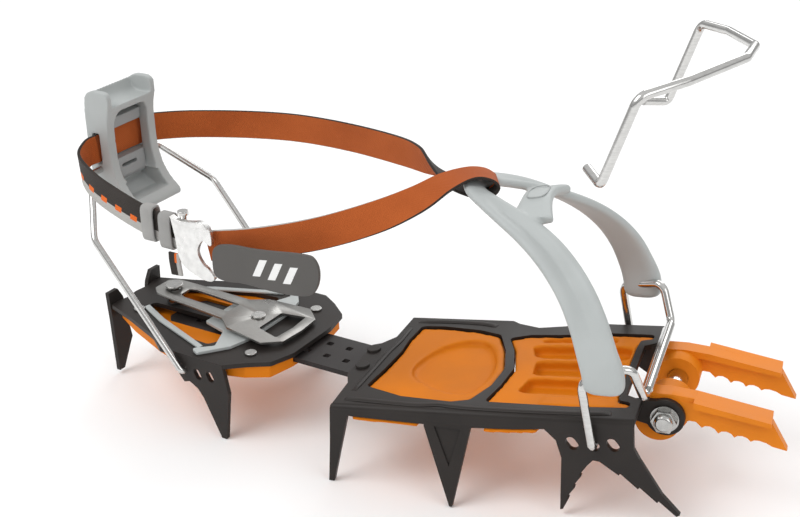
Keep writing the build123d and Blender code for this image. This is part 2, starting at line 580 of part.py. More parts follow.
with BuildPart() as buckle_frame:
    slab(
        side(HEEL, -48.2),
        [(-204.5, 112.5), (-196, 113.4), (-188.5, 114.6), (-185, 111), (-184, 104), (-186.6, 103),
         (-190.5, 106), (-194, 99), (-191, 90.8), (-184.8, 87.2), (-189, 86.2), (-197.5, 88.4),
         (-201.5, 92), (-204.8, 96)],
        2.4,
        radius=1.0,
    )
    peg(HEEL, BUCKLE_PIVOT, 1.5 + FIT, 80, 120, mode=Mode.SUBTRACT)
buckle_frame.part.label = "buckle_frame"
export_step(buckle_frame.part, "parts/buckle_frame.step")

with BuildPart() as buckle_pin:
    peg(HEEL, BUCKLE_PIVOT, 1.5, 94.5, 115)
    peg(HEEL, BUCKLE_PIVOT, 2.4, 114, 116)
buckle_pin.part.label = "buckle_pin"
export_step(buckle_pin.part, "parts/buckle_pin.step")

# ================================================================ toe bail and harness
TOE_LEG_Y = SIDE_Y + TOE_WIRE_R + 0.6
bail_side = [
    (TOE_PIVOT[0], -40.4, TOE_PIVOT[1]), (TOE_PIVOT[0], -TOE_LEG_Y, TOE_PIVOT[1]),
    (-31.6, -TOE_LEG_Y, 66.4), (-12.4, -40.5, 72.0), (-7.4, -35.9, 55.8),
]

with BuildPart() as toe_bail_wire:
    route = bail_side + [(x, -y, z) for x, y, z in reversed(bail_side)]
    wire(spots(TOE, route), [2.1, 5, 5, 4, 4, 5, 5, 2.1], TOE_WIRE_R)
    flat = Plane(
        origin=TOE.from_local_coords((-7.6, -30, 55.8)),
        x_dir=(sin(radians(38)), 0, cos(radians(38))),
        z_dir=(0, 1, 0),
    )
    with BuildSketch(flat):
        RectangleRounded(6.4, 3.2, 1.2)
    extrude(amount=60)
toe_bail_wire.part.label = "toe_bail_wire"
export_step(toe_bail_wire.part, "parts/toe_bail_wire.step")

# Middle line of one harness arm, from the bail's top bends up and back to the rear ring.
ARM_LINE = [
    (-22.0, 46.0, 62.0), (-22.6, 46.4, 70.0), (-25.5, 45.6, 79.0), (-29.7, 42.4, 89.8), (-35.4, 37.8, 99.6),
    (-42.6, 32.6, 107.8), (-50.8, 27.3, 114.3), (-59.7, 22.5, 119.3), (-68.4, 18.4, 123.0), (-77.0, 14.0, 126.0),
    (-85.0, 8.5, 128.2), (-88.5, 0.0, 129.0),
]
ARM_WIDE = [17.5, 17.0, 16.0, 15.5, 15.0, 14.5, 14.0, 13.5, 12.5, 11.5, 10.5, 10.5]
ARM_THICK = [7.6, 7.2, 5.0, 4.4, 4.2, 4.2, 4.2, 4.2, 4.0, 3.6, 3.4, 3.4]


def arm_cuts(hand):
    """Cross-section planes along one harness arm: standing at the bail, lying flat at the ring."""
    cuts = []
    last = len(ARM_LINE) - 1
    for index, (x, y, z) in enumerate(ARM_LINE):
        before = Vector(*ARM_LINE[max(index - 1, 0)])
        after = Vector(*ARM_LINE[min(index + 1, last)])
        along = (after - before).normalized()
        if index == last:
            along = Vector(0, -1, 0)
        share = index / last
        outward = Vector(0.35 * share, 1 - share, 1.15 * share)
        width = along.cross(outward).normalized()
        middle = Vector(x, hand * y, z)
        width = Vector(width.X, hand * width.Y, width.Z)
        along = Vector(along.X, hand * along.Y, along.Z)
        cuts.append(Plane(origin=TOE.from_local_coords(middle), x_dir=width, z_dir=along))
    return cuts


with BuildPart() as toe_harness:
    for hand in (-1, 1):
        planes = arm_cuts(hand)
        sections = []
        for plane, wide, thick in zip(planes, ARM_WIDE, ARM_THICK):
            with BuildSketch(plane, mode=Mode.PRIVATE) as section:
                Rectangle(wide, thick)
            sections.append(section.sketch)
        for low, high in zip(sections, sections[1:]):
            loft(sections=[low, high], ruled=True)
    slab(side(TOE, -17), [(-66.5, 119.8), (-52.5, 117.4), (-51.8, 120.6), (-65.8, 123.4)], -34)
    slab(side(TOE, -10), [(-66.5, 122), (-52.5, 119), (-51.6, 127.0), (-65.6, 129.6)], -20)
    slab(side(TOE, -8), [(-68.5, 116), (-50.5, 113), (-51.0, 123.0), (-68.6, 126)], -16, mode=Mode.SUBTRACT)
    for hand in (-1, 1):
        wire(
            spots(TOE, [(-38.6, hand * 49.4, 64.2), (-30.6, hand * 46.6, 66.6), (-12.4, hand * 40.6, 71.8),
                        (-9.4, hand * 39.6, 61)]),
            2.5, TOE_WIRE_R + 1.1, mode=Mode.SUBTRACT,
        )
        slab(side(TOE, hand * 52), [(-36, 50), (-27.4, 50), (-27.4, 66.6), (-36, 66.6)], hand * 12, mode=Mode.SUBTRACT)
toe_harness.part.label = "toe_harness"
export_step(toe_harness.part, "parts/toe_harness.step")

# ================================================================ spare toe bail, beside the toe
SPARE = Plane(
    origin=TOE.from_local_coords((-19.3, -3.1, 0)),
    x_dir=(cos(radians(-5.2)), sin(radians(-5.2)), 0),
    z_dir=(0, 0, 1),
)
spare_side = [
    (-8, -41.5, 157), (0, -51, 154.6), (13.2, -50.4, 190), (27.6, -34, 192.4), (43.2, -8, 195),
]

with BuildPart() as spare_toe_bail:
    route = spare_side + [(x, -y, z) for x, y, z in reversed(spare_side)]
    wire(spots(SPARE, route), [2.4, 6, 5, 3, 3, 5, 6, 2.4], TOE_WIRE_R)
spare_toe_bail.part.label = "spare_toe_bail"
export_step(spare_toe_bail.part, "parts/spare_toe_bail.step")
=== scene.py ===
import bpy
import bmesh
import json
from math import cos, pi, radians, sin
from mathutils import Matrix, Vector


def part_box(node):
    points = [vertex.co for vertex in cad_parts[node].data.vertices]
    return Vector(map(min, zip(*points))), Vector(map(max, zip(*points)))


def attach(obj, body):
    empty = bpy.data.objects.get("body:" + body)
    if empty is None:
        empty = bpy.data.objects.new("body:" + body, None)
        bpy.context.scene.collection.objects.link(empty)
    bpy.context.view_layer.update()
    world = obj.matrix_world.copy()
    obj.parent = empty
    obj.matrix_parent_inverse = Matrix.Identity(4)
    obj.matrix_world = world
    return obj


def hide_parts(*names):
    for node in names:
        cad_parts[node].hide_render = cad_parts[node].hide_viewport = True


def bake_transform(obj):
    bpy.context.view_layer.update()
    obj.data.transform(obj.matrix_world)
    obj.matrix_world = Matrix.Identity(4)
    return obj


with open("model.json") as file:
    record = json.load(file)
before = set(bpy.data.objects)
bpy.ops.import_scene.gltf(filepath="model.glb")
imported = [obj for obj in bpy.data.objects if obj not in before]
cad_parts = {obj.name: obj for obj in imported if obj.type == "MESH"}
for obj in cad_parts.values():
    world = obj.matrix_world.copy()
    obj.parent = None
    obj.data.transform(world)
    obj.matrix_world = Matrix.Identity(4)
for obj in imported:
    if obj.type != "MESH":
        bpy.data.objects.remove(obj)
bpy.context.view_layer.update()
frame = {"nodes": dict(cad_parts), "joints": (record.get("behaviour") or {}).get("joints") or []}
MM = 0.001

# ---------------------------------------------------------------- frames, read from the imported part
joints = {joint["name"]: joint for joint in frame["joints"]}
axle_low, axle_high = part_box("axle_spacer")
axle = (axle_low + axle_high) / 2
TOE_ORIGIN = Vector((axle.x, axle.y, 0))
HEEL_X = Vector(joints["length_adjustment"]["axis"]).normalized()
HEEL_Y = Vector((-HEEL_X.y, HEEL_X.x, 0))
HEEL_PIVOT = Vector((-215.4, 0, 31.0))
HEEL_ORIGIN = Vector(joints["heel_bail_hinge"]["pos_m"]) - HEEL_X * HEEL_PIVOT.x * MM
HEEL_ORIGIN.z = 0


def toe(x, y, z):
    """Toe coordinates in millimetres to the row frame in metres."""
    return TOE_ORIGIN + Vector((x, y, z)) * MM


def heel(x, y, z):
    """Heel coordinates in millimetres to the row frame in metres."""
    return HEEL_ORIGIN + HEEL_X * (x * MM) + HEEL_Y * (y * MM) + Vector((0, 0, z * MM))


def heel_dir(x, y, z):
    return HEEL_X * x + HEEL_Y * y + Vector((0, 0, z))


RISE = radians(4.89)
PLATE_TOP = 50.6       # height of the sloping plate above the axle, mm
RAMP_X = Vector((cos(RISE), 0, sin(RISE)))
RAMP_Z = Vector((-sin(RISE), 0, cos(RISE)))


def ramp(u, y, h):
    """Coordinates on the sloping front plate: along it, across it, above its top face."""
    middle = TOE_ORIGIN + Vector((0, y * MM, PLATE_TOP * MM))
    return middle + RAMP_X * (u * MM) + RAMP_Z * (h * MM)


# ---------------------------------------------------------------- materials
def new_material(name, color, rough, metal=0.0):
    material = bpy.data.materials.new(name)
    material.use_nodes = True
    nodes = material.node_tree.nodes
    shader = nodes["Principled BSDF"]
    shader.inputs["Base Color"].default_value = (*color, 1)
    shader.inputs["Roughness"].default_value = rough
    shader.inputs["Metallic"].default_value = metal
    return material, nodes, material.node_tree.links, shader


def noise(nodes, links, scale, detail=4.0, stretch=(1, 1, 1)):
    coords = nodes.new("ShaderNodeTexCoord")
    mapping = nodes.new("ShaderNodeMapping")
    mapping.inputs["Scale"].default_value = stretch
    texture = nodes.new("ShaderNodeTexNoise")
    texture.inputs["Scale"].default_value = scale
    texture.inputs["Detail"].default_value = detail
    links.new(coords.outputs["Object"], mapping.inputs["Vector"])
    links.new(mapping.outputs["Vector"], texture.inputs["Vector"])
    return texture.outputs["Fac"]


def ramp_color(nodes, links, value, low, high, start=0.35, end=0.65):
    stops = nodes.new("ShaderNodeValToRGB")
    stops.color_ramp.elements[0].position = start
    stops.color_ramp.elements[0].color = (*low, 1)
    stops.color_ramp.elements[1].position = end
    stops.color_ramp.elements[1].color = (*high, 1)
    links.new(value, stops.inputs["Fac"])
    return stops.outputs["Color"]


def ramp_value(nodes, links, value, low, high):
    spread = nodes.new("ShaderNodeMapRange")
    spread.inputs["From Min"].default_value = 0.3
    spread.inputs["From Max"].default_value = 0.7
    spread.inputs["To Min"].default_value = low
    spread.inputs["To Max"].default_value = high
    links.new(value, spread.inputs["Value"])
    return spread.outputs["Result"]


def bump(nodes, links, shader, height, strength, distance):
    node = nodes.new("ShaderNodeBump")
    node.inputs["Strength"].default_value = strength
    node.inputs["Distance"].default_value = distance
    links.new(height, node.inputs["Height"])
    links.new(node.outputs["Normal"], shader.inputs["Normal"])


def moulded(name, color, rough, vary=0.06, grain=900.0, depth=0.00006, shine=0.35):
    """Moulded plastic or a sprayed coat: cloudy colour, fine grain, uneven gloss."""
    material, nodes, links, shader = new_material(name, color, rough)
    cloud = noise(nodes, links, 35.0, 3.0)
    low = tuple(c * (1 - vary) for c in color)
    high = tuple(min(1.0, c * (1 + vary)) for c in color)
    links.new(ramp_color(nodes, links, cloud, low, high), shader.inputs["Base Color"])
    grains = noise(nodes, links, grain, 2.0)
    links.new(ramp_value(nodes, links, cloud, rough - 0.06, rough + 0.06), shader.inputs["Roughness"])
    bump(nodes, links, shader, grains, 0.35, depth)
    shader.inputs["Specular IOR Level"].default_value = shine
    return material


def metal(name, color, rough, stretch=(1, 1, 1), scale=400.0, strength=0.12):
    """Bare metal: drawn or brushed lines along one direction, and uneven gloss."""
    material, nodes, links, shader = new_material(name, color, rough, 1.0)
    lines = noise(nodes, links, scale, 3.0, stretch)
    cloud = noise(nodes, links, 60.0, 3.0)
    low = tuple(c * 0.86 for c in color)
    links.new(ramp_color(nodes, links, lines, low, color), shader.inputs["Base Color"])
    links.new(ramp_value(nodes, links, cloud, rough * 0.75, rough * 1.25), shader.inputs["Roughness"])
    bump(nodes, links, shader, lines, strength, 0.00004)
    return material


BLACK = moulded("coat_black", (0.022, 0.018, 0.016), 0.46, 0.18, 1400.0, 0.00005, 0.26)
ORANGE_STEEL = moulded("coat_orange", (0.74, 0.215, 0.010), 0.42, 0.06, 1300.0, 0.00004, 0.16)
ORANGE_PAD = moulded("pad_orange", (0.66, 0.185, 0.006), 0.50, 0.07, 700.0, 0.00005, 0.10)
GREY = moulded("plastic_light_grey", (0.44, 0.465, 0.46), 0.50, 0.04, 800.0, 0.00005)
LEVER_GREY = moulded("plastic_lever_grey", (0.40, 0.42, 0.415), 0.52, 0.05, 800.0, 0.00006)
BLOCK_GREY = moulded("plastic_block_grey", (0.30, 0.31, 0.31), 0.52, 0.05, 800.0, 0.00006)
STAINLESS = metal("steel_brushed", (0.36, 0.355, 0.34), 0.34, (1, 12, 1), 500.0, 0.2)
CHROME = metal("wire_bright", (0.66, 0.655, 0.64), 0.13, (1, 1, 6), 300.0, 0.03)
PLATE = metal("buckle_bright", (0.80, 0.795, 0.78), 0.30, (1, 1, 1), 300.0, 0.04)
HARDWARE = metal("hardware_plated", (0.52, 0.515, 0.50), 0.24, (1, 1, 1), 500.0, 0.08)
BAR = moulded("bar_dark", (0.024, 0.020, 0.019), 0.44, 0.15, 1200.0, 0.00004, 0.26)


def webbing_material(name, face):
    """Woven webbing, from UV: u runs along the webbing in millimetres, v across it from 0 to 1."""
    material, nodes, links, shader = new_material(name, (0.3, 0.1, 0.03), 0.78)
    uv = nodes.new("ShaderNodeUVMap")
    uv.uv_map = "along"
    split = nodes.new("ShaderNodeSeparateXYZ")
    links.new(uv.outputs["UV"], split.inputs["Vector"])

    def math(kind, a, b=None):
        node = nodes.new("ShaderNodeMath")
        node.operation = kind
        for index, item in enumerate((a, b)):
            if item is None:
                continue
            if isinstance(item, (int, float)):
                node.inputs[index].default_value = item
            else:
                links.new(item, node.inputs[index])
        return node.outputs["Value"]

    u, v = split.outputs["X"], split.outputs["Y"]
    warp = math("SINE", math("MULTIPLY", v, 2 * pi * 11))
    weft = math("SINE", math("MULTIPLY", u, 2 * pi / 1.1))
    weave = math("MULTIPLY", warp, weft)
    fibre = noise(nodes, links, 1600.0, 3.0)
    cloud = noise(nodes, links, 30.0, 3.0)
    height = math("ADD", weave, math("MULTIPLY", fibre, 0.8))
    if face == "orange":
        color = ramp_color(nodes, links, cloud, (0.37, 0.082, 0.018), (0.45, 0.105, 0.024))
    else:
        dark = ramp_color(nodes, links, cloud, (0.030, 0.025, 0.022), (0.042, 0.035, 0.031))
        # a light stripe along one edge, with short orange stitches where it meets the dark part
        stripe = math("LESS_THAN", v, 0.33)
        dash_v = math("MULTIPLY", math("GREATER_THAN", v, 0.26), math("LESS_THAN", v, 0.45))
        phase = math("FRACT", math("DIVIDE", u, 10.5))
        dash = math("MULTIPLY", dash_v, math("LESS_THAN", phase, 0.42))
        mix = nodes.new("ShaderNodeMix")
        mix.data_type = "RGBA"
        links.new(stripe, mix.inputs["Factor"])
        links.new(dark, mix.inputs["A"])
        mix.inputs["B"].default_value = (0.42, 0.41, 0.39, 1)
        mix2 = nodes.new("ShaderNodeMix")
        mix2.data_type = "RGBA"
        links.new(dash, mix2.inputs["Factor"])
        links.new(mix.outputs["Result"], mix2.inputs["A"])
        mix2.inputs["B"].default_value = (0.72, 0.14, 0.02, 1)
        color = mix2.outputs["Result"]
    links.new(color, shader.inputs["Base Color"])
    shader.inputs["Sheen Weight"].default_value = 0.08
    shader.inputs["Specular IOR Level"].default_value = 0.1
    bump(nodes, links, shader, height, 0.45, 0.00012)
    return material


WEB_ORANGE = webbing_material("webbing_orange", "orange")
WEB_DARK = webbing_material("webbing_dark", "dark")
TAIL_GREY = moulded("tab_dark_grey", (0.088, 0.083, 0.078), 0.55, 0.06, 1500.0, 0.00006)
WOVEN_GREY = moulded("woven_grey", (0.34, 0.335, 0.325), 0.82, 0.10, 2600.0, 0.00025, 0.12)
MOTIF = moulded("print_white", (0.80, 0.80, 0.79), 0.5, 0.02, 900.0, 0.00002)


# ---------------------------------------------------------------- CAD nodes that stay, with softened edges
def keep(node, material, edge=0.0004, segments=2):
    """A CAD node that stays: its own finish, and edges softened by modifiers."""
    piece = frame["nodes"][node]
    piece.data.materials.clear()
    piece.data.materials.append(material)
    merge = piece.modifiers.new("merge", "WELD")
    merge.merge_threshold = 0.000002
    flat = piece.modifiers.new("flat", "DECIMATE")
    flat.decimate_type = "DISSOLVE"
    flat.angle_limit = radians(1.0)
    if edge:
        soft = piece.modifiers.new("soft", "BEVEL")
        soft.width = edge
        soft.segments = segments
        soft.limit_method = "ANGLE"
        soft.angle_limit = radians(35)
        soft.harden_normals = True
    return piece


KEPT = {
    "front_frame": (BLACK, 0.0005), "heel_frame": (BLACK, 0.0005), "linking_bar": (BAR, 0.0003),
    "front_point_outer": (ORANGE_STEEL, 0.0005), "front_point_inner": (ORANGE_STEEL, 0.0005),
    "axle_bolt": (HARDWARE, 0.0003), "axle_nut": (HARDWARE, 0.0004), "axle_spacer": (CHROME, 0.0003),
    "bar_rivets": (BLACK, 0.0003), "heel_rivets": (HARDWARE, 0.0003), "spring_plate": (STAINLESS, 0.0002),
    "latch_stud": (HARDWARE, 0.0002), "latch_post": (HARDWARE, 0.0003), "heel_pad": (ORANGE_PAD, 0.0006),
    "heel_insert": (GREY, 0.0004), "heel_bail_wire": (CHROME, 0), "toe_bail_wire": (CHROME, 0),
    "spare_toe_bail": (CHROME, 0), "buckle_pin": (CHROME, 0.0002),
}
for node, (material, edge) in KEPT.items():
    keep(node, material, edge)


# ---------------------------------------------------------------- mesh helpers
def smooth_line(points, steps):
    """Points along a smooth curve through the given vectors."""
    line = []
    last = len(points) - 1
    for index in range(last):
        p0, p1 = points[max(index - 1, 0)], points[index]
        p2, p3 = points[index + 1], points[min(index + 2, last)]
        for step in range(steps):
            t = step / steps
            line.append(0.5 * (2 * p1 + (p2 - p0) * t + (2 * p0 - 5 * p1 + 4 * p2 - p3) * t ** 2
                               + (3 * p1 - p0 - 3 * p2 + p3) * t ** 3))
    line.append(points[last].copy())
    return line


def rounded(points, passes=2, share=0.25):
    """A closed outline with its corners cut again and again, which rounds them."""
    for _ in range(passes):
        cut = []
        for here, there in zip(points, points[1:] + points[:1]):
            cut.append(tuple(a + (b - a) * share for a, b in zip(here, there)))
            cut.append(tuple(a + (b - a) * (1 - share) for a, b in zip(here, there)))
        points = cut
    return points


def placed(piece, body, nodes):
    """The piece rides on its body, and may stand for CAD nodes."""
    if body:
        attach(piece, body)
    if nodes:
        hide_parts(*nodes)


def finish_mesh(name, verts, faces, materials, body, nodes=(), smooth=True, slots=None):
    """A mesh object that rides on a body and may stand for CAD nodes."""
    mesh = bpy.data.meshes.new(name)
    mesh.from_pydata([tuple(v) for v in verts], [], faces)
    for material in materials:
        mesh.materials.append(material)
    if slots:
        for polygon, slot in zip(mesh.polygons, slots):
            polygon.material_index = slot
    work = bmesh.new()
    work.from_mesh(mesh)
    bmesh.ops.recalc_face_normals(work, faces=work.faces)
    work.to_mesh(mesh)
    work.free()
    for polygon in mesh.polygons:
        polygon.use_smooth = smooth
    piece = bpy.data.objects.new(name, mesh)
    bpy.context.scene.collection.objects.link(piece)
    if body or nodes:
        placed(piece, body, nodes)
    return piece


def tube_faces(rings, around, closed_ends=True):
    """Quads between rings of points, and a cap on each end."""
    faces = []
    for ring in range(rings - 1):
        for spoke in range(around):
            a = ring * around + spoke
            b = ring * around + (spoke + 1) % around
            faces.append((a, b, b + around, a + around))
    if closed_ends:
        faces.append(tuple(range(around))[::-1])
        faces.append(tuple((rings - 1) * around + k for k in range(around)))
    return faces


def prism(frame_fn, outline, low, high):
    """Points and faces of an outline pushed from one offset to another."""
    verts = [frame_fn(a, b, low) for a, b in outline] + [frame_fn(a, b, high) for a, b in outline]
    return verts, tube_faces(2, len(outline))


def baked(piece):
    """The piece's mesh with its modifiers applied, and no modifiers left."""
    bpy.context.view_layer.update()
    graph = bpy.context.evaluated_depsgraph_get()
    mesh = bpy.data.meshes.new_from_object(piece.evaluated_get(graph))
    piece.modifiers.clear()
    piece.data = mesh
    return piece


def fuse(name, solids, cuts, voxel, rounds, material, body, nodes=()):
    """Closed solids joined, others cut away, and the result rounded like a moulding."""
    def plain(verts, faces):
        return finish_mesh(name + "_part", verts, faces, [material], None)

    base = plain(*solids[0])
    helpers = []
    for kind, items in (("UNION", solids[1:]), ("DIFFERENCE", cuts)):
        for item in items:
            helper = plain(*item)
            helpers.append(helper)
            cut = base.modifiers.new("cut", "BOOLEAN")
            cut.operation = kind
            cut.solver = "EXACT"
            cut.object = helper
    grid = base.modifiers.new("grid", "REMESH")
    grid.mode = "VOXEL"
    grid.voxel_size = voxel
    ease = base.modifiers.new("ease", "SMOOTH")
    ease.factor = 0.5
    ease.iterations = rounds
    baked(base)
    for helper in helpers:
        bpy.data.objects.remove(helper)
    base.name = name
    for polygon in base.data.polygons:
        polygon.use_smooth = True
    base.data.materials.clear()
    base.data.materials.append(material)
    placed(base, body, nodes)
    return base


# ---------------------------------------------------------------- webbing
def ribbon(name, controls, width, thick, body, nodes=(), start=0.0, materials=(WEB_ORANGE, WEB_DARK)):
    """Flat webbing through controls (x, y, z, nx, ny, nz): the orange face looks along n."""
    spots = smooth_line([heel(*c[:3]) for c in controls], 10)
    normals = smooth_line([heel_dir(*c[3:]) for c in controls], 10)
    half, deep, corner = width / 2, thick / 2, 0.28
    section = [(-half + corner, deep), (half - corner, deep), (half, deep - corner), (half, corner - deep),
               (half - corner, -deep), (corner - half, -deep), (-half, corner - deep), (-half, deep - corner)]
    verts, along = [], []
    run = start
    for index, spot in enumerate(spots):
        before, after = spots[max(index - 1, 0)], spots[min(index + 1, len(spots) - 1)]
        tangent = (after - before).normalized()
        normal = (normals[index] - tangent * normals[index].dot(tangent)).normalized()
        across = tangent.cross(normal)
        if index:
            run += (spot - spots[index - 1]).length / MM
        along.append(run)
        verts += [spot + across * (a * MM) + normal * (b * MM) for a, b in section]
    around = len(section)
    faces = tube_faces(len(spots), around)
    slots = [0 if k % around == 0 else 1 for k in range((len(spots) - 1) * around)] + [1, 1]
    piece = finish_mesh(name, verts, faces, materials, body, nodes, slots=slots)
    layer = piece.data.uv_layers.new(name="along")
    for loop in piece.data.loops:
        ring, spoke = divmod(loop.vertex_index, around)
        layer.data[loop.index].uv = (along[ring], section[spoke][0] / width + 0.5)
    piece.data.set_sharp_from_angle(angle=radians(40))
    return piece


ankle = ribbon("ankle_webbing", [
    (-190, -46.0, 101.2, 0, -1, 0), (-165, -42.0, 106.2, 0, -1, 0), (-140, -33.4, 112.2, 0, -1, 0.15),
    (-120, -19.6, 118.4, 0, -1, 0.4), (-107, -7.4, 124.4, 0, -0.75, 0.75), (-98, 1.6, 130.6, 0, -0.3, 1),
    (-90, 8.8, 133.7, 0, 0, 1), (-84.2, 13.0, 133.0, 0.5, 0.4, 0.8), (-80.8, 15.4, 129.6, 0.8, 0.6, 0),
    (-83.2, 14.4, 125.6, 0.3, 0.2, -0.9), (-90, 13.8, 124.4, 0, 0, -1), (-100, 17.6, 124.8, 0, 0, -1),
    (-112, 23.6, 125.4, 0, -0.55, -0.8), (-128, 31.6, 125.8, 0, -1, -0.2), (-145, 38.5, 125.0, 0, -1, 0),
    (-177, 46.5, 123.3, 0, -1, 0), (-208.5, 49.0, 122.0, 0, -1, 0), (-236, 45.0, 120.8, 0.2, -1, 0),
    (-262, 35.0, 120.2, 0.7, -0.7, 0), (-275, 24.0, 120.6, 0.9, -0.4, 0), (-279.5, 16.2, 121, 1, 0, 0),
], 14.0, 1.3, None, ("strap_near", "strap_far"))
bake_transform(ankle)
ankle_rear = ribbon("ankle_webbing_rear", [
    (-279.5, -16.2, 121, 1, 0, 0), (-280.6, -22, 120.2, 0.95, 0.3, 0), (-277.5, -30, 117.2, 0.8, 0.6, 0),
    (-266, -36.2, 113.2, 0.3, 1, 0), (-250, -40.4, 109.6, 0, 1, 0), (-226, -43.9, 105.0, 0, 1, 0),
    (-203, -45.0, 102.0, 0, 1, 0),
], 14.0, 1.4, None, ("strap_loop",), start=3.0)
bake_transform(ankle_rear)
ribbon("lever_webbing", [
    (-279.8, 16.4, 121, 1, 0, 0), (-280.2, 6, 121, 1, 0, 0), (-280.2, -6, 121, 1, 0, 0),
    (-279.8, -16.4, 121, 1, 0, 0),
], 14.0, 1.3, "heel_lever", ("lever_strap",))

# ---------------------------------------------------------------- toe harness
ARM_LINE = [
    (-22.0, 46.0, 62.0), (-22.6, 46.4, 70.0), (-25.5, 45.6, 79.0), (-29.7, 42.4, 89.8), (-35.4, 37.8, 99.6),
    (-42.6, 32.6, 107.8), (-50.8, 27.3, 114.3), (-59.7, 22.5, 119.3), (-68.4, 18.4, 123.0), (-77.0, 13.4, 126.0),
    (-84.6, 7.4, 128.2), (-87.4, 0.0, 129.0),
]
ARM_WIDE = [16.8, 17.2, 16.4, 15.8, 15.2, 14.8, 14.4, 13.6, 12.4, 11.0, 9.8, 9.4]
GROOVE_DEPTH = 2.4     # of the channel along each arm, mm
ARM_THICK = [8.4, 8.2, 6.2, 5.2, 4.8, 4.8, 4.8, 4.8, 4.6, 4.2, 3.8, 3.6]


def harness_sweep(groove):
    """The arch of the harness, foot to foot round the rear of the ring, as one closed sweep."""
    count = len(ARM_LINE)
    spots, outs, wides = [], [], []
    for index in list(range(count)) + list(range(count - 2, -1, -1)):
        hand = -1 if len(spots) < count else 1
        x, y, z = ARM_LINE[index]
        share = index / (count - 1)
        spots.append(Vector((x, hand * y, z)))
        outs.append(Vector((0.35 * share, hand * (1 - share), 1.15 * share)))
        wides.append(Vector((ARM_WIDE[index], ARM_THICK[index], 0)))
    spots, outs, wides = (smooth_line(items, 5) for items in (spots, outs, wides))
    section = []
    for step in range(24):
        angle = 2 * pi * step / 24
        c, s = cos(angle), sin(angle)
        section.append((0.5 * abs(c) ** 0.55 * (1 if c > 0 else -1),
                        0.5 * abs(s) ** 0.7 * (1 if s > 0 else -1)))
    verts = []
    total = len(spots)
    for index, spot in enumerate(spots):
        before, after = spots[max(index - 1, 0)], spots[min(index + 1, total - 1)]
        tangent = (after - before).normalized()
        out = (outs[index] - tangent * outs[index].dot(tangent)).normalized()
        across = tangent.cross(out)
        wide, thick = wides[index].x, wides[index].y
        end = min(index, total - 1 - index)
        shrink = (0.55, 0.86, 0.97)[end] if end < 3 else 1.0
        share = end / (total / 2)
        dip = groove * max(0.0, min(1.0, (share - 0.22) * 9)) * max(0.0, min(1.0, (0.84 - share) * 9))
        for a, b in section:
            depth = b * thick
            if b > 0:
                depth -= dip * max(0.0, 1 - (abs(a) / 0.27) ** 2)
            spot_here = spot + across * (a * wide * shrink) + out * (depth * shrink)
            verts.append(toe(*spot_here))
    return verts, tube_faces(total, len(section))


def crossbar():
    """The bar across the ring, arched between the arms."""
    line = ((-59.4, -17.5, 121.0), (-59.4, -12, 123.0), (-59.6, -6, 124.8), (-59.8, 0, 125.4),
            (-59.6, 6, 124.8), (-59.4, 12, 123.0), (-59.4, 17.5, 121.0))
    spots = smooth_line([Vector(p) for p in line], 4)
    verts = []
    for spot in spots:
        lean = Vector((-0.22, spot.y * 0.02, 1)).normalized()
        wide = 13.6 + 0.022 * spot.y ** 2
        along = Vector((0, 1, 0)).cross(lean).normalized()
        for step in range(16):
            angle = 2 * pi * step / 16
            c, s = cos(angle), sin(angle)
            a = 0.5 * wide * abs(c) ** 0.5 * (1 if c > 0 else -1)
            b = 2.4 * abs(s) ** 0.6 * (1 if s > 0 else -1)
            verts.append(toe(*(spot + along * a + lean * b)))
    return verts, tube_faces(len(spots), 16)


fuse("toe_harness_moulding", [harness_sweep(GROOVE_DEPTH), crossbar()], [], 0.0006, 5, GREY,
     "harness", ("toe_harness",))


def oval_line(name, place, lean, half_long, half_wide, radius, material, body):
    """A fine raised line round an oval, laid on a surface."""
    side = Vector((0, 1, 0))
    ahead = side.cross(lean).normalized()
    verts = []
    for step in range(40):
        turn = 2 * pi * step / 40
        c, s = cos(turn), sin(turn)
        c, s = abs(c) ** 0.7 * (1 if c > 0 else -1), abs(s) ** 0.7 * (1 if s > 0 else -1)
        middle = place + side * (c * half_wide * MM) + ahead * (s * half_long * MM)
        outward = (side * c + ahead * s).normalized()
        for k in range(6):
            bend = 2 * pi * k / 6
            verts.append(middle + outward * (cos(bend) * radius * MM) + lean * (sin(bend) * radius * MM))
    faces = []
    for ring in range(40):
        for k in range(6):
            a, b = ring * 6 + k, ring * 6 + (k + 1) % 6
            c_, d = ((ring + 1) % 40) * 6 + (k + 1) % 6, ((ring + 1) % 40) * 6 + k
            faces.append((a, b, c_, d))
    return finish_mesh(name, verts, faces, [material], body)


oval_line("harness_badge", toe(-59.9, 0, 127.7), Vector((-0.22, 0, 1)).normalized(), 4.4, 6.6, 0.28,
          LEVER_GREY, "harness")


# ---------------------------------------------------------------- heel lever
def across_heel(x, z, y):
    return heel(x, y, z)


def along_heel(y, z, x):
    return heel(x, y, z)


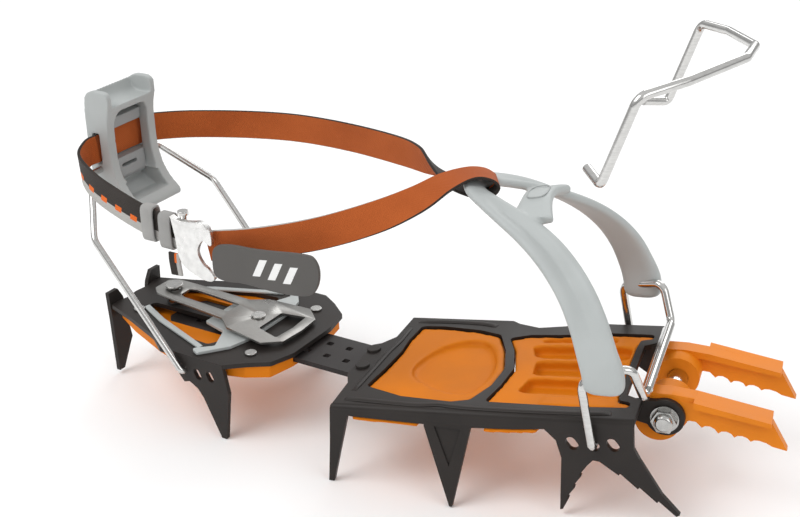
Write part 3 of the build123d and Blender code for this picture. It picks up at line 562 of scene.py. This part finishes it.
LEVER_SIDE = rounded([
    (-281.8, 97.5), (-267, 90.2), (-258.9, 90.4), (-258.7, 94.0), (-264.8, 98.8), (-269.6, 107), (-271.4, 119),
    (-271.2, 134), (-268.8, 143.5), (-269.4, 148.8), (-273, 149.9), (-281.5, 149.4), (-284.6, 144.5),
    (-284.9, 130), (-284.6, 110), (-283.6, 100),
], 2)
fuse("lever_shell_moulding", [prism(across_heel, LEVER_SIDE, -16.6, 16.6)], [
    prism(along_heel, rounded([(-11.6, 102), (11.6, 102), (11.6, 138.6), (-11.6, 138.6)], 2, 0.12),
          -281.6, -250),
    prism(across_heel, rounded([(-281.6, 152), (-281.9, 145), (-279.5, 141.6), (-271, 141.4), (-262, 144.5),
                                (-262, 152)], 2), -13.6, 13.6),
    prism(across_heel, [(-279.6, 99.6), (-271, 95.4), (-250, 97.5), (-250, 104), (-279.6, 104)], -11.6, 11.6),
    prism(across_heel, [(-281.4, 113.4), (-277, 113.4), (-277, 128.6), (-281.4, 128.6)], -20, 20),
], 0.0005, 4, LEVER_GREY, "heel_lever", ("lever_shell",))
fuse("lever_inner_block", [
    prism(across_heel, [(-282.2, 103.5), (-275.6, 102.6), (-274.6, 104.4), (-275.2, 113.7), (-282.2, 113.7)],
          -10.9, 10.9),
    prism(across_heel, [(-282.2, 129), (-275.4, 129), (-274.9, 134.4), (-282.2, 135.4)], -10.9, 10.9),
], [prism(along_heel, [(-5.2, 108.6), (5.2, 108.6), (5.2, 110.2), (-5.2, 110.2)], -279, -270)],
    0.0004, 2, BLOCK_GREY, "heel_lever", ("lever_block",))

# ---------------------------------------------------------------- anti-snow pads
REAR_WINDOW = [
    (-131.5, -26), (-113, -33.5), (-90, -36), (-82, -33.5), (-76, -20), (-74, -4), (-78, 13),
    (-84, 28), (-95, 32), (-113, 34.5), (-124, 34), (-126, 19), (-126, 8), (-128.5, -10),
]
FRONT_WINDOW = [
    (-75.5, -34.5), (-72, -20), (-70, -4), (-74, 13), (-79, 25), (-70, 29), (-56, 30),
    (-38, 33.5), (-14, 33.5), (-14, 29), (-19.2, 27.6), (-20, 20), (-20, -20), (-19.2, -27.6), (-14, -29),
    (-14, -33.5), (-38, -35),
]


def shrunk(outline, gap):
    """An outline moved inwards by a gap, corner by corner."""
    area = sum(a[0] * b[1] - b[0] * a[1] for a, b in zip(outline, outline[1:] + outline[:1]))
    hand = 1 if area > 0 else -1
    inner = []
    for before, here, after in zip(outline[-1:] + outline[:-1], outline, outline[1:] + outline[:1]):
        first = (Vector(here) - Vector(before)).normalized()
        second = (Vector(after) - Vector(here)).normalized()
        one, two = Vector((-first.y, first.x)) * hand, Vector((-second.y, second.x)) * hand
        middle = (one + two).normalized()
        inner.append(tuple(Vector(here) + middle * (gap / max(0.4, middle.dot(one)))))
    return inner


REAR_BASE = [(-138, -41.4), (-80, -41.4), (-76.5, -20), (-74.5, -4), (-77.5, 13), (-83, 41.4), (-129, 41.4)]
FRONT_BASE = [
    (-75.5, -41.4), (-72, -20), (-70, -4), (-73, 13), (-79, 30), (-68, 34), (-50, 38), (-42, 41.4), (-13, 41.4),
    (-13, 29.5), (-18.6, 28), (-19.6, 23), (-19.6, -23), (-18.6, -28), (-13, -29.5), (-13, -41.4),
]
BAR_ROOM = [heel(x, y, 0) - TOE_ORIGIN for x, y in ((-160, -14.3), (-116, -14.3), (-116, 14.3), (-160, 14.3))]
BAR_ROOM = [(spot.x / MM, spot.y / MM) for spot in BAR_ROOM]


def across_toe(x, z, y):
    return toe(x, y, z)


def level_toe(x, y, z):
    return toe(x, y, z)


fuse("rear_pad_moulding", [
    prism(ramp, shrunk(REAR_WINDOW, 0.4), -6.6, -0.9),
    prism(ramp, REAR_BASE, -7.6, -5.3),
    prism(across_toe, [(-132, 33.8), (-102, 34.7), (-102, 32.8), (-132, 31.9)], -44, -40.6),
], [
    prism(ramp, rounded([(-118, -10), (-104, -22), (-87, -28.5), (-80.4, -19), (-78.6, -4), (-81.6, 10),
                         (-88, 22), (-100, 23), (-112, 12)], 3), -3.2, 5),
    prism(level_toe, BAR_ROOM, 32.8, 36.0),
], 0.00075, 14, ORANGE_PAD, "front_section", ("rear_pad",))
fuse("front_pad_moulding", [
    prism(ramp, shrunk(FRONT_WINDOW, 0.4), -6.6, -0.9),
    prism(ramp, FRONT_BASE, -7.6, -5.3),
    prism(across_toe, [(-73, 36.7), (-60, 38.2), (-50, 39.7), (-50, 37.7), (-60, 36.2), (-73, 34.7)],
          -44, -40.6),
    prism(ramp, [(-52, -33.6), (-20, -33.6), (-20, -26.5), (-50, -26.5)], -3, -0.2),
], [
    prism(ramp, rounded([(-63, 9), (-22, 10), (-22, 22.5), (-67, 20)], 2, 0.1), -5.4, 5),
    prism(ramp, rounded([(-61, -7), (-22, -7), (-22, 6.6), (-62, 5.6)], 2, 0.08), -5.4, 5),
    prism(ramp, rounded([(-64, -23), (-22, -23.4), (-22, -10.2), (-61, -10.2)], 2, 0.08), -5.4, 5),
    prism(ramp, rounded([(-66, 24), (-30, 26), (-30, 30.5), (-60, 27.5)], 2, 0.1), -3.4, 5),
], 0.00075, 4, ORANGE_PAD, "front_section", ("front_pad",))

# ---------------------------------------------------------------- pressed ridges of the front plate
def ridge(name, spots, wide, high, body):
    """A low rounded bead pressed into the sheet along a run of spots (u, y) on the sloping plate."""
    line = smooth_line([Vector((u, y, 0)) for u, y in spots], 8)
    verts = []
    for index, spot in enumerate(line):
        before, after = line[max(index - 1, 0)], line[min(index + 1, len(line) - 1)]
        run = (after - before).normalized()
        across = Vector((-run.y, run.x, 0))
        fade = min(1.0, 0.15 + 0.25 * min(index, len(line) - 1 - index))
        for step in range(9):
            turn = pi * step / 8
            shift = spot + across * (cos(turn) * wide / 2)
            verts.append(ramp(shift.x, shift.y, sin(turn) * high * fade - 0.02))
        verts.append(ramp(spot.x, spot.y, -0.6))
    return finish_mesh(name, verts, tube_faces(len(line), 10), [BLACK], body)


ridge("front_ridge_near", [(-137, -38.2), (-120, -39.6), (-104, -40.6), (-94, -39.4), (-84, -40.6), (-62, -41.0),
                           (-36, -40.4), (-20, -39.2)], 3.4, 0.8, "front_section")
ridge("front_ridge_far", [(-127, 38.6), (-112, 39.4), (-96, 38.6), (-88, 36.4)], 3.4, 0.8, "front_section")
ridge("front_ridge_rear", [(-135.6, -31), (-134.6, -22), (-133.2, -8), (-131.8, 6), (-129.8, 18), (-129.2, 32)],
      2.6, 0.7, "front_section")

# ---------------------------------------------------------------- buckle, keepers and tab
fuse("buckle_plate", [
    prism(across_heel, rounded([(-207.2, 114.6), (-203, 112.4), (-196, 112.8), (-188.5, 114.5), (-184.8, 111.4),
                                (-184.1, 104.0), (-186.0, 103.2), (-189.2, 105.8), (-192.2, 102), (-193.0, 98),
                                (-190.6, 93.8), (-186.2, 91.4), (-184.2, 88.8), (-185.4, 86.4), (-190, 85.9),
                                (-197.4, 88.2), (-202.4, 91.4), (-204.4, 96), (-204.9, 104)], 2), -50.4, -48.3),
    prism(across_heel, rounded([(-207.2, 114.6), (-203, 112.4), (-196, 112.8), (-188.5, 114.5), (-184.8, 111.4),
                                (-188, 111.2), (-196, 110.6), (-204, 110.6)], 2), -51.2, -48.3),
], [], 0.00022, 4, PLATE, "buckle", ("buckle_frame",))


def collar(name, x, y, z, tall, body, nodes):
    """A woven loop round the webbing, with its own thin band."""
    outline, inside = [], []
    for step in range(32):
        turn = 2 * pi * step / 32
        c, s = cos(turn), sin(turn)
        c, s = abs(c) ** 0.6 * (1 if c > 0 else -1), abs(s) ** 0.35 * (1 if s > 0 else -1)
        outline.append((c * 3.3, s * tall))
        inside.append((c * 2.3, s * (tall - 1.0)))
    verts = []
    for offset in (-3.4, -3.0, 3.0, 3.4):
        ease = 0.25 if abs(offset) > 3.2 else 0
        verts += [heel(x + offset, y + a * (1 - ease / 3.3), z + b * (1 - ease / tall)) for a, b in outline]
    for offset in (3.4, -3.4):
        verts += [heel(x + offset, y + a, z + b) for a, b in inside]
    faces = []
    for ring in range(6):
        for k in range(32):
            a, b = ring * 32 + k, ring * 32 + (k + 1) % 32
            c_, d = ((ring + 1) % 6) * 32 + (k + 1) % 32, ((ring + 1) % 6) * 32 + k
            faces.append((a, b, c_, d))
    return finish_mesh(name, verts, faces, [WOVEN_GREY], body, nodes)


collar("keeper_front_loop", -213.6, -44.2, 103.1, 8.6, "front_keeper", ("keeper_front",))
collar("keeper_rear_loop", -224.0, -43.8, 104.7, 8.6, "rear_keeper", ("keeper_rear",))

ribbon("webbing_end", [
    (-209.2, -47.0, 94.0, 0, -1, 0), (-209.2, -47.2, 91, 0, -1, 0), (-208.9, -47.2, 87, 0, -1, 0),
    (-208.7, -47.0, 83.5, 0, -1, 0),
], 6.5, 1.2, "front_keeper", materials=(WEB_DARK, WEB_DARK))
TAB = rounded([(-183.5, 89.6), (-184.2, 96), (-183.2, 104.6), (-174, 107.2), (-160, 107.4), (-133, 111.2), (-129, 109.8),
               (-126.8, 104.5), (-128.4, 96.5), (-133, 91.4), (-150, 89.6), (-168, 90.4), (-176, 88.8)], 3)
tab_verts, tab_faces = prism(across_heel, TAB, -51.6, -49.8)
tab = finish_mesh("strap_tab", tab_verts, tab_faces, [TAIL_GREY], "ankle_strap", ("strap_tail",), smooth=False)
edge = tab.modifiers.new("soft", "BEVEL")
edge.width = 0.0004
edge.segments = 2
edge.limit_method = "ANGLE"
edge.angle_limit = radians(50)
baked(tab)
tab.data.materials.clear()
tab.data.materials.append(TAIL_GREY)
for step in range(3):
    low = -162 + step * 8.0
    outline = [(low, 95.2), (low + 4, 95.8), (low + 8.4, 104.2), (low + 4.4, 103.6)]
    bar_verts, bar_faces = prism(across_heel, outline, -51.75, -51.5)
    finish_mesh("tab_stripe_%d" % (step + 1), bar_verts, bar_faces, [MOTIF], "ankle_strap", smooth=False)


# ---------------------------------------------------------------- floor, light, camera
def build_stage():
    mesh = bpy.data.meshes.new("floor")
    half, low = 6, -0.0002      # metres: half the floor's width, and just under the spikes
    corners = [(-half, -half, low), (half, -half, low), (half, half, low), (-half, half, low)]
    mesh.from_pydata(corners, [], [(0, 1, 2, 3)])
    floor = bpy.data.objects.new("floor", mesh)
    bpy.context.scene.collection.objects.link(floor)
    material, nodes, links, shader = new_material("floor", (0.95, 0.95, 0.95), 0.9)
    mesh.materials.append(material)
    world = bpy.data.worlds.new("studio")
    bpy.context.scene.world = world
    world.use_nodes = True
    tree = world.node_tree
    place = tree.nodes.new("ShaderNodeTexCoord")
    split = tree.nodes.new("ShaderNodeSeparateXYZ")
    band = tree.nodes.new("ShaderNodeValToRGB")
    stops = band.color_ramp.elements
    stops[0].position, stops[0].color = 0.0, (0.92, 0.92, 0.92, 1)
    stops[1].position, stops[1].color = 1.0, (1, 1, 1, 1)
    for spot, level in ((0.46, 0.9), (0.51, 0.55), (0.60, 0.55), (0.70, 0.88)):
        stop = stops.new(spot)
        stop.color = (level, level, level, 1)
    shift = tree.nodes.new("ShaderNodeMath")
    shift.operation = "MULTIPLY_ADD"
    shift.inputs[1].default_value = 0.5
    shift.inputs[2].default_value = 0.5
    tree.links.new(place.outputs["Generated"], split.inputs[0])
    tree.links.new(split.outputs["Z"], shift.inputs[0])
    tree.links.new(shift.outputs[0], band.inputs["Fac"])
    tree.links.new(band.outputs["Color"], tree.nodes["Background"].inputs["Color"])
    tree.nodes["Background"].inputs["Strength"].default_value = 0.80

    def panel(name, place, aim, size, power):
        light = bpy.data.lights.new(name, "AREA")
        light.shape = "RECTANGLE"
        light.size, light.size_y = size
        light.energy = power
        lamp = bpy.data.objects.new(name, light)
        bpy.context.scene.collection.objects.link(lamp)
        lamp.location = place
        lamp.rotation_euler = (Vector(aim) - Vector(place)).to_track_quat("-Z", "Y").to_euler()

    middle = (0, 0, 0.06)
    panel("key", (-0.7, -0.6, 1.2), middle, (0.9, 0.9), 9.5)
    panel("fill", (1.1, -0.7, 0.7), middle, (0.8, 0.8), 3.2)
    panel("back", (0.1, 1.3, 0.9), middle, (1.2, 0.6), 6)


def place_camera():
    azimuth, elevation, roll = radians(18.792), radians(24.387), radians(-2.159)
    right = Vector((cos(azimuth), sin(azimuth), 0))
    forward = Vector((-sin(azimuth) * cos(elevation), cos(azimuth) * cos(elevation), -sin(elevation)))
    down = forward.cross(right)
    camera_right = right * cos(roll) - down * sin(roll)
    camera_up = -(right * sin(roll) + down * cos(roll))
    lens = bpy.data.cameras.new("camera")
    lens.lens = 67.92
    lens.sensor_width = 36
    lens.clip_start = 0.01
    camera = bpy.data.objects.new("camera", lens)
    bpy.context.scene.collection.objects.link(camera)
    turned = Matrix((camera_right, camera_up, -forward)).transposed().to_4x4()
    camera.matrix_world = Matrix.Translation(toe(72.454, -571.460, 363.974)) @ turned
    bpy.context.scene.camera = camera


build_stage()
place_camera()
bpy.context.scene.view_settings.view_transform = "Standard"

bpy.context.view_layer.update()
